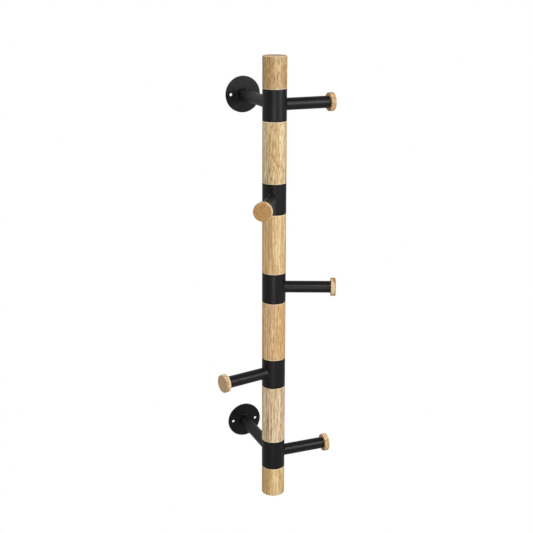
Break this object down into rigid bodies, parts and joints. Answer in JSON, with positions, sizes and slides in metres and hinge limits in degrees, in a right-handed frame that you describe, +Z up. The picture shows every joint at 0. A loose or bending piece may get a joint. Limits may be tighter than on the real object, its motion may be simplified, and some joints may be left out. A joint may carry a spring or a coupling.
{
  "type": "wall hook rack",
  "caption": "Upright round post of wood segments and black steel collars on two wall brackets; each collar has a hook arm with a wood cap, and the middle hooks swivel.",
  "frame": {"origin": "centre of the upper wall flange's back face, on the wall's surface", "axes": "+Z up along the post, +Y into the wall, +X along the wall to the right as seen from the room"},
  "size_m": [0.1987, 0.2288, 0.7324],
  "materials": {
    "powder_coat": "satin black powder coat with a fine orange-peel texture",
    "post_oak": "oiled pale golden wood with streaky lengthwise grain",
    "cap_oak": "oiled, turned and sanded, warmer on the end grain",
    "zinc_steel": "bright zinc plate",
    "nylon": "natural turned nylon"
  },
  "bodies": {
    "root": {"wall_flange_top": "powder_coat", "wall_flange_bottom": "powder_coat", "standoff_tube_top": "powder_coat", "standoff_tube_bottom": "powder_coat", "collar_1": "powder_coat", "collar_5": "powder_coat", "hook_arm_1": "powder_coat", "hook_arm_5": "powder_coat", "hook_cap_1": "cap_oak", "hook_cap_5": "cap_oak", "post_segment_1": "post_oak", "post_segment_2": "post_oak", "post_segment_3": "post_oak", "post_segment_4": "post_oak", "post_segment_5": "post_oak", "post_segment_6": "post_oak", "spacer_bush_1": "nylon", "spacer_bush_2": "nylon", "spacer_bush_3": "nylon", "spacer_bush_4": "nylon", "spacer_bush_5": "nylon", "tie_rod": "zinc_steel", "threaded_insert_top": "zinc_steel", "threaded_insert_bottom": "zinc_steel"},
    "hook_2": {"collar_2": "powder_coat", "hook_arm_2": "powder_coat", "hook_cap_2": "cap_oak"},
    "hook_3": {"collar_3": "powder_coat", "hook_arm_3": "powder_coat", "hook_cap_3": "cap_oak"},
    "hook_4": {"collar_4": "powder_coat", "hook_arm_4": "powder_coat", "hook_cap_4": "cap_oak"}
  },
  "joints": [
    {"name": "hook_2_swivel", "type": "hinge", "parent": "root", "child": "hook_2", "pos_m": [0, -0.138, -0.146], "axis": [0, 0, 1], "continuous": true},
    {"name": "hook_3_swivel", "type": "hinge", "parent": "root", "child": "hook_3", "pos_m": [0, -0.138, -0.292], "axis": [0, 0, 1], "continuous": true},
    {"name": "hook_4_swivel", "type": "hinge", "parent": "root", "child": "hook_4", "pos_m": [0, -0.138, -0.438], "axis": [0, 0, 1], "continuous": true}
  ]
}
